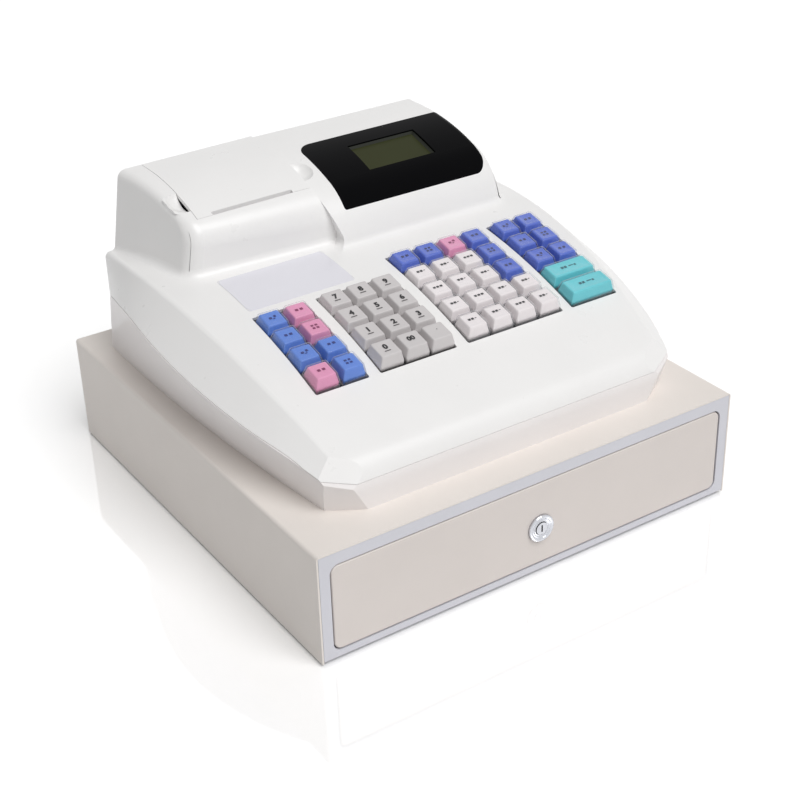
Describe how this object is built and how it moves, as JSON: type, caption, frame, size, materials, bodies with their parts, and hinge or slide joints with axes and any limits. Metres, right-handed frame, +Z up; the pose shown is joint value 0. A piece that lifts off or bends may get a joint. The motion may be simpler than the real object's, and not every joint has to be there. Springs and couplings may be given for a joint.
{
  "type": "ticket register",
  "caption": "Electronic cash register with receipt printer, display and keyboard on a steel cash drawer with a lock.",
  "frame": {"origin": "on the floor under the middle of the object's outline", "axes": "+X right along the drawer's front, +Y to the back, +Z up"},
  "size_m": [0.417, 0.436, 0.2655],
  "materials": {
    "case_paint": "warm white powder coat",
    "front_paint": "warm white powder coat, smooth",
    "bezel_plastic": "cool light grey, satin",
    "foot_rubber": "matt black",
    "zinc_steel": "zinc plated",
    "tray_steel": "dark grey powder coat",
    "insert_plastic": "black, fine texture",
    "nylon": "natural nylon",
    "lock_chrome": "polished chrome",
    "coil_dark": "wound coil in black tape",
    "shell_white": "white, satin gloss",
    "shell_lower": "warm white, satin",
    "window_black": "gloss black",
    "lcd_olive": "olive display glass",
    "guide_grey": "light grey",
    "board_green": "green solder mask",
    "number_grey": "opaque grey keycap",
    "key_blue": "blue under a clear cap",
    "key_white": "white under a clear cap",
    "key_cyan": "cyan under a clear cap",
    "paper_white": "plain till paper",
    "supply_iron": "dark laminated core"
  },
  "bodies": {
    "case": {"drawer_case": "case_paint", "case_floor": "case_paint", "case_feet": "foot_rubber", "screws": "zinc_steel", "front_bezel": "bezel_plastic", "slide_rails": "zinc_steel", "latch_bracket": "zinc_steel", "solenoid": "coil_dark", "upper_shell": "shell_white", "lower_shell": "shell_lower", "display_window": "window_black", "lcd_module": "lcd_olive", "key_guide": "guide_grey", "key_board": "board_green", "base_plate": "zinc_steel", "main_board": "board_green", "power_supply": "supply_iron", "cord_inlet": "foot_rubber", "printer_frame": "zinc_steel", "platen_motor": "zinc_steel"},
    "drawer": {"drawer_tray": "tray_steel", "drawer_front": "front_paint", "till_insert": "insert_plastic", "lock_body": "lock_chrome"},
    "lock_plug": {"lock_plug": "lock_chrome"},
    "case_rollers": {"case_rollers": "nylon"},
    "drawer_rollers": {"drawer_rollers": "nylon"},
    "bill_clips": {"bill_clips": "insert_plastic"},
    "latch_lever": {"latch_lever": "zinc_steel"},
    "plunger": {"plunger": "zinc_steel"},
    "printer_cover": {"printer_cover": "shell_white"},
    "paper_roll": {"paper_roll": "paper_white"},
    "platen": {"platen_roller": "foot_rubber"},
    "key_0": {"key_0": "number_grey"},
    "key_00": {"key_00": "number_grey"},
    "key_point": {"key_point": "number_grey"},
    "key_1": {"key_1": "number_grey"},
    "key_2": {"key_2": "number_grey"},
    "key_3": {"key_3": "number_grey"},
    "key_4": {"key_4": "number_grey"},
    "key_5": {"key_5": "number_grey"},
    "key_6": {"key_6": "number_grey"},
    "key_7": {"key_7": "number_grey"},
    "key_8": {"key_8": "number_grey"},
    "key_9": {"key_9": "number_grey"},
    "left_keys_row_1": {"left_keys_row_1": "key_blue"},
    "left_keys_row_2": {"left_keys_row_2": "key_blue"},
    "left_keys_row_3": {"left_keys_row_3": "key_blue"},
    "left_keys_row_4": {"left_keys_row_4": "key_blue"},
    "department_keys_row_1": {"department_keys_row_1": "key_white"},
    "department_keys_row_2": {"department_keys_row_2": "key_white"},
    "department_keys_row_3": {"department_keys_row_3": "key_white"},
    "department_keys_row_4": {"department_keys_row_4": "key_white"},
    "department_keys_row_5": {"department_keys_row_5": "key_blue"},
    "right_keys_row_3": {"right_keys_row_3": "key_blue"},
    "right_keys_row_4": {"right_keys_row_4": "key_blue"},
    "right_keys_row_5": {"right_keys_row_5": "key_blue"},
    "wide_key_front": {"wide_key_front": "key_cyan"},
    "wide_key_back": {"wide_key_back": "key_cyan"}
  },
  "joints": [
    {"name": "drawer_slide", "type": "slide", "parent": "case", "child": "drawer", "axis": [0, -1, 0], "range_m": [0, 0.3]},
    {"name": "lock_turn", "type": "hinge", "parent": "drawer", "child": "lock_plug", "pos_m": [0.002, -0.215, 0.0445], "axis": [0, 1, 0], "range_deg": [0, 90]},
    {"name": "case_roller_spin", "type": "hinge", "parent": "case", "child": "case_rollers", "pos_m": [0, -0.19, 0.0398], "axis": [1, 0, 0], "continuous": true},
    {"name": "drawer_roller_spin", "type": "hinge", "parent": "drawer", "child": "drawer_rollers", "pos_m": [0, 0.18, 0.0398], "axis": [1, 0, 0], "continuous": true},
    {"name": "clip_lift", "type": "hinge", "parent": "drawer", "child": "bill_clips", "pos_m": [0, 0.165, 0.066], "axis": [-1, 0, 0], "range_deg": [0, 65], "stiffness_Nm_per_rad": 0.15, "springref_deg": -17.19},
    {"name": "latch_turn", "type": "hinge", "parent": "case", "child": "latch_lever", "pos_m": [0, 0.206, 0.048], "axis": [1, 0, 0], "range_deg": [0, 14]},
    {"name": "plunger_slide", "type": "slide", "parent": "case", "child": "plunger", "axis": [0, 0, -1], "range_m": [0, 0.0014]},
    {"name": "cover_turn", "type": "hinge", "parent": "case", "child": "printer_cover", "pos_m": [-0.08, 0.176, 0.2595], "axis": [-1, 0, 0], "range_deg": [0, 100]},
    {"name": "paper_spin", "type": "hinge", "parent": "case", "child": "paper_roll", "pos_m": [-0.081, 0.135, 0.222], "axis": [1, 0, 0], "continuous": true},
    {"name": "platen_spin", "type": "hinge", "parent": "case", "child": "platen", "pos_m": [-0.081, 0.093, 0.231], "axis": [1, 0, 0], "continuous": true},
    {"name": "key_0_press", "type": "slide", "parent": "case", "child": "key_0", "axis": [0, 0.2334, -0.9724], "range_m": [0, 0.003], "stiffness_N_per_m": 200, "springref_m": -0.0012},
    {"name": "key_00_press", "type": "slide", "parent": "case", "child": "key_00", "axis": [0, 0.2334, -0.9724], "range_m": [0, 0.003], "stiffness_N_per_m": 200, "springref_m": -0.0012},
    {"name": "key_point_press", "type": "slide", "parent": "case", "child": "key_point", "axis": [0, 0.2334, -0.9724], "range_m": [0, 0.003], "stiffness_N_per_m": 200, "springref_m": -0.0012},
    {"name": "key_1_press", "type": "slide", "parent": "case", "child": "key_1", "axis": [0, 0.2334, -0.9724], "range_m": [0, 0.003], "stiffness_N_per_m": 200, "springref_m": -0.0012},
    {"name": "key_2_press", "type": "slide", "parent": "case", "child": "key_2", "axis": [0, 0.2334, -0.9724], "range_m": [0, 0.003], "stiffness_N_per_m": 200, "springref_m": -0.0012},
    {"name": "key_3_press", "type": "slide", "parent": "case", "child": "key_3", "axis": [0, 0.2334, -0.9724], "range_m": [0, 0.003], "stiffness_N_per_m": 200, "springref_m": -0.0012},
    {"name": "key_4_press", "type": "slide", "parent": "case", "child": "key_4", "axis": [0, 0.2334, -0.9724], "range_m": [0, 0.003], "stiffness_N_per_m": 200, "springref_m": -0.0012},
    {"name": "key_5_press", "type": "slide", "parent": "case", "child": "key_5", "axis": [0, 0.2334, -0.9724], "range_m": [0, 0.003], "stiffness_N_per_m": 200, "springref_m": -0.0012},
    {"name": "key_6_press", "type": "slide", "parent": "case", "child": "key_6", "axis": [0, 0.2334, -0.9724], "range_m": [0, 0.003], "stiffness_N_per_m": 200, "springref_m": -0.0012},
    {"name": "key_7_press", "type": "slide", "parent": "case", "child": "key_7", "axis": [0, 0.2334, -0.9724], "range_m": [0, 0.003], "stiffness_N_per_m": 200, "springref_m": -0.0012},
    {"name": "key_8_press", "type": "slide", "parent": "case", "child": "key_8", "axis": [0, 0.2334, -0.9724], "range_m": [0, 0.003], "stiffness_N_per_m": 200, "springref_m": -0.0012},
    {"name": "key_9_press", "type": "slide", "parent": "case", "child": "key_9", "axis": [0, 0.2334, -0.9724], "range_m": [0, 0.003], "stiffness_N_per_m": 200, "springref_m": -0.0012},
    {"name": "left_keys_row_1_press", "type": "slide", "parent": "case", "child": "left_keys_row_1", "axis": [0, 0.2334, -0.9724], "range_m": [0, 0.003], "stiffness_N_per_m": 400, "springref_m": -0.0012},
    {"name": "left_keys_row_2_press", "type": "slide", "parent": "case", "child": "left_keys_row_2", "axis": [0, 0.2334, -0.9724], "range_m": [0, 0.003], "stiffness_N_per_m": 400, "springref_m": -0.0012},
    {"name": "left_keys_row_3_press", "type": "slide", "parent": "case", "child": "left_keys_row_3", "axis": [0, 0.2334, -0.9724], "range_m": [0, 0.003], "stiffness_N_per_m": 400, "springref_m": -0.0012},
    {"name": "left_keys_row_4_press", "type": "slide", "parent": "case", "child": "left_keys_row_4", "axis": [0, 0.2334, -0.9724], "range_m": [0, 0.003], "stiffness_N_per_m": 400, "springref_m": -0.0012},
    {"name": "department_keys_row_1_press", "type": "slide", "parent": "case", "child": "department_keys_row_1", "axis": [0, 0.2334, -0.9724], "range_m": [0, 0.003], "stiffness_N_per_m": 800, "springref_m": -0.0012},
    {"name": "department_keys_row_2_press", "type": "slide", "parent": "case", "child": "department_keys_row_2", "axis": [0, 0.2334, -0.9724], "range_m": [0, 0.003], "stiffness_N_per_m": 800, "springref_m": -0.0012},
    {"name": "department_keys_row_3_press", "type": "slide", "parent": "case", "child": "department_keys_row_3", "axis": [0, 0.2334, -0.9724], "range_m": [0, 0.003], "stiffness_N_per_m": 800, "springref_m": -0.0012},
    {"name": "department_keys_row_4_press", "type": "slide", "parent": "case", "child": "department_keys_row_4", "axis": [0, 0.2334, -0.9724], "range_m": [0, 0.003], "stiffness_N_per_m": 800, "springref_m": -0.0012},
    {"name": "department_keys_row_5_press", "type": "slide", "parent": "case", "child": "department_keys_row_5", "axis": [0, 0.2334, -0.9724], "range_m": [0, 0.003], "stiffness_N_per_m": 800, "springref_m": -0.0012},
    {"name": "right_keys_row_3_press", "type": "slide", "parent": "case", "child": "right_keys_row_3", "axis": [0, 0.2334, -0.9724], "range_m": [0, 0.003], "stiffness_N_per_m": 400, "springref_m": -0.0012},
    {"name": "right_keys_row_4_press", "type": "slide", "parent": "case", "child": "right_keys_row_4", "axis": [0, 0.2334, -0.9724], "range_m": [0, 0.003], "stiffness_N_per_m": 400, "springref_m": -0.0012},
    {"name": "right_keys_row_5_press", "type": "slide", "parent": "case", "child": "right_keys_row_5", "axis": [0, 0.2334, -0.9724], "range_m": [0, 0.003], "stiffness_N_per_m": 400, "springref_m": -0.0012},
    {"name": "wide_key_front_press", "type": "slide", "parent": "case", "child": "wide_key_front", "axis": [0, 0.2334, -0.9724], "range_m": [0, 0.003], "stiffness_N_per_m": 200, "springref_m": -0.0012},
    {"name": "wide_key_back_press", "type": "slide", "parent": "case", "child": "wide_key_back", "axis": [0, 0.2334, -0.9724], "range_m": [0, 0.003], "stiffness_N_per_m": 200, "springref_m": -0.0012}
  ],
  "couplings": [
    {"joint": "plunger_slide", "follows": "latch_turn", "m_per_rad": 0.0057},
    {"joint": "case_roller_spin", "follows": "drawer_slide", "rad_per_m": 125},
    {"joint": "drawer_roller_spin", "follows": "drawer_slide", "rad_per_m": 125},
    {"joint": "paper_spin", "follows": "platen_spin", "ratio": 0.28}
  ]
}
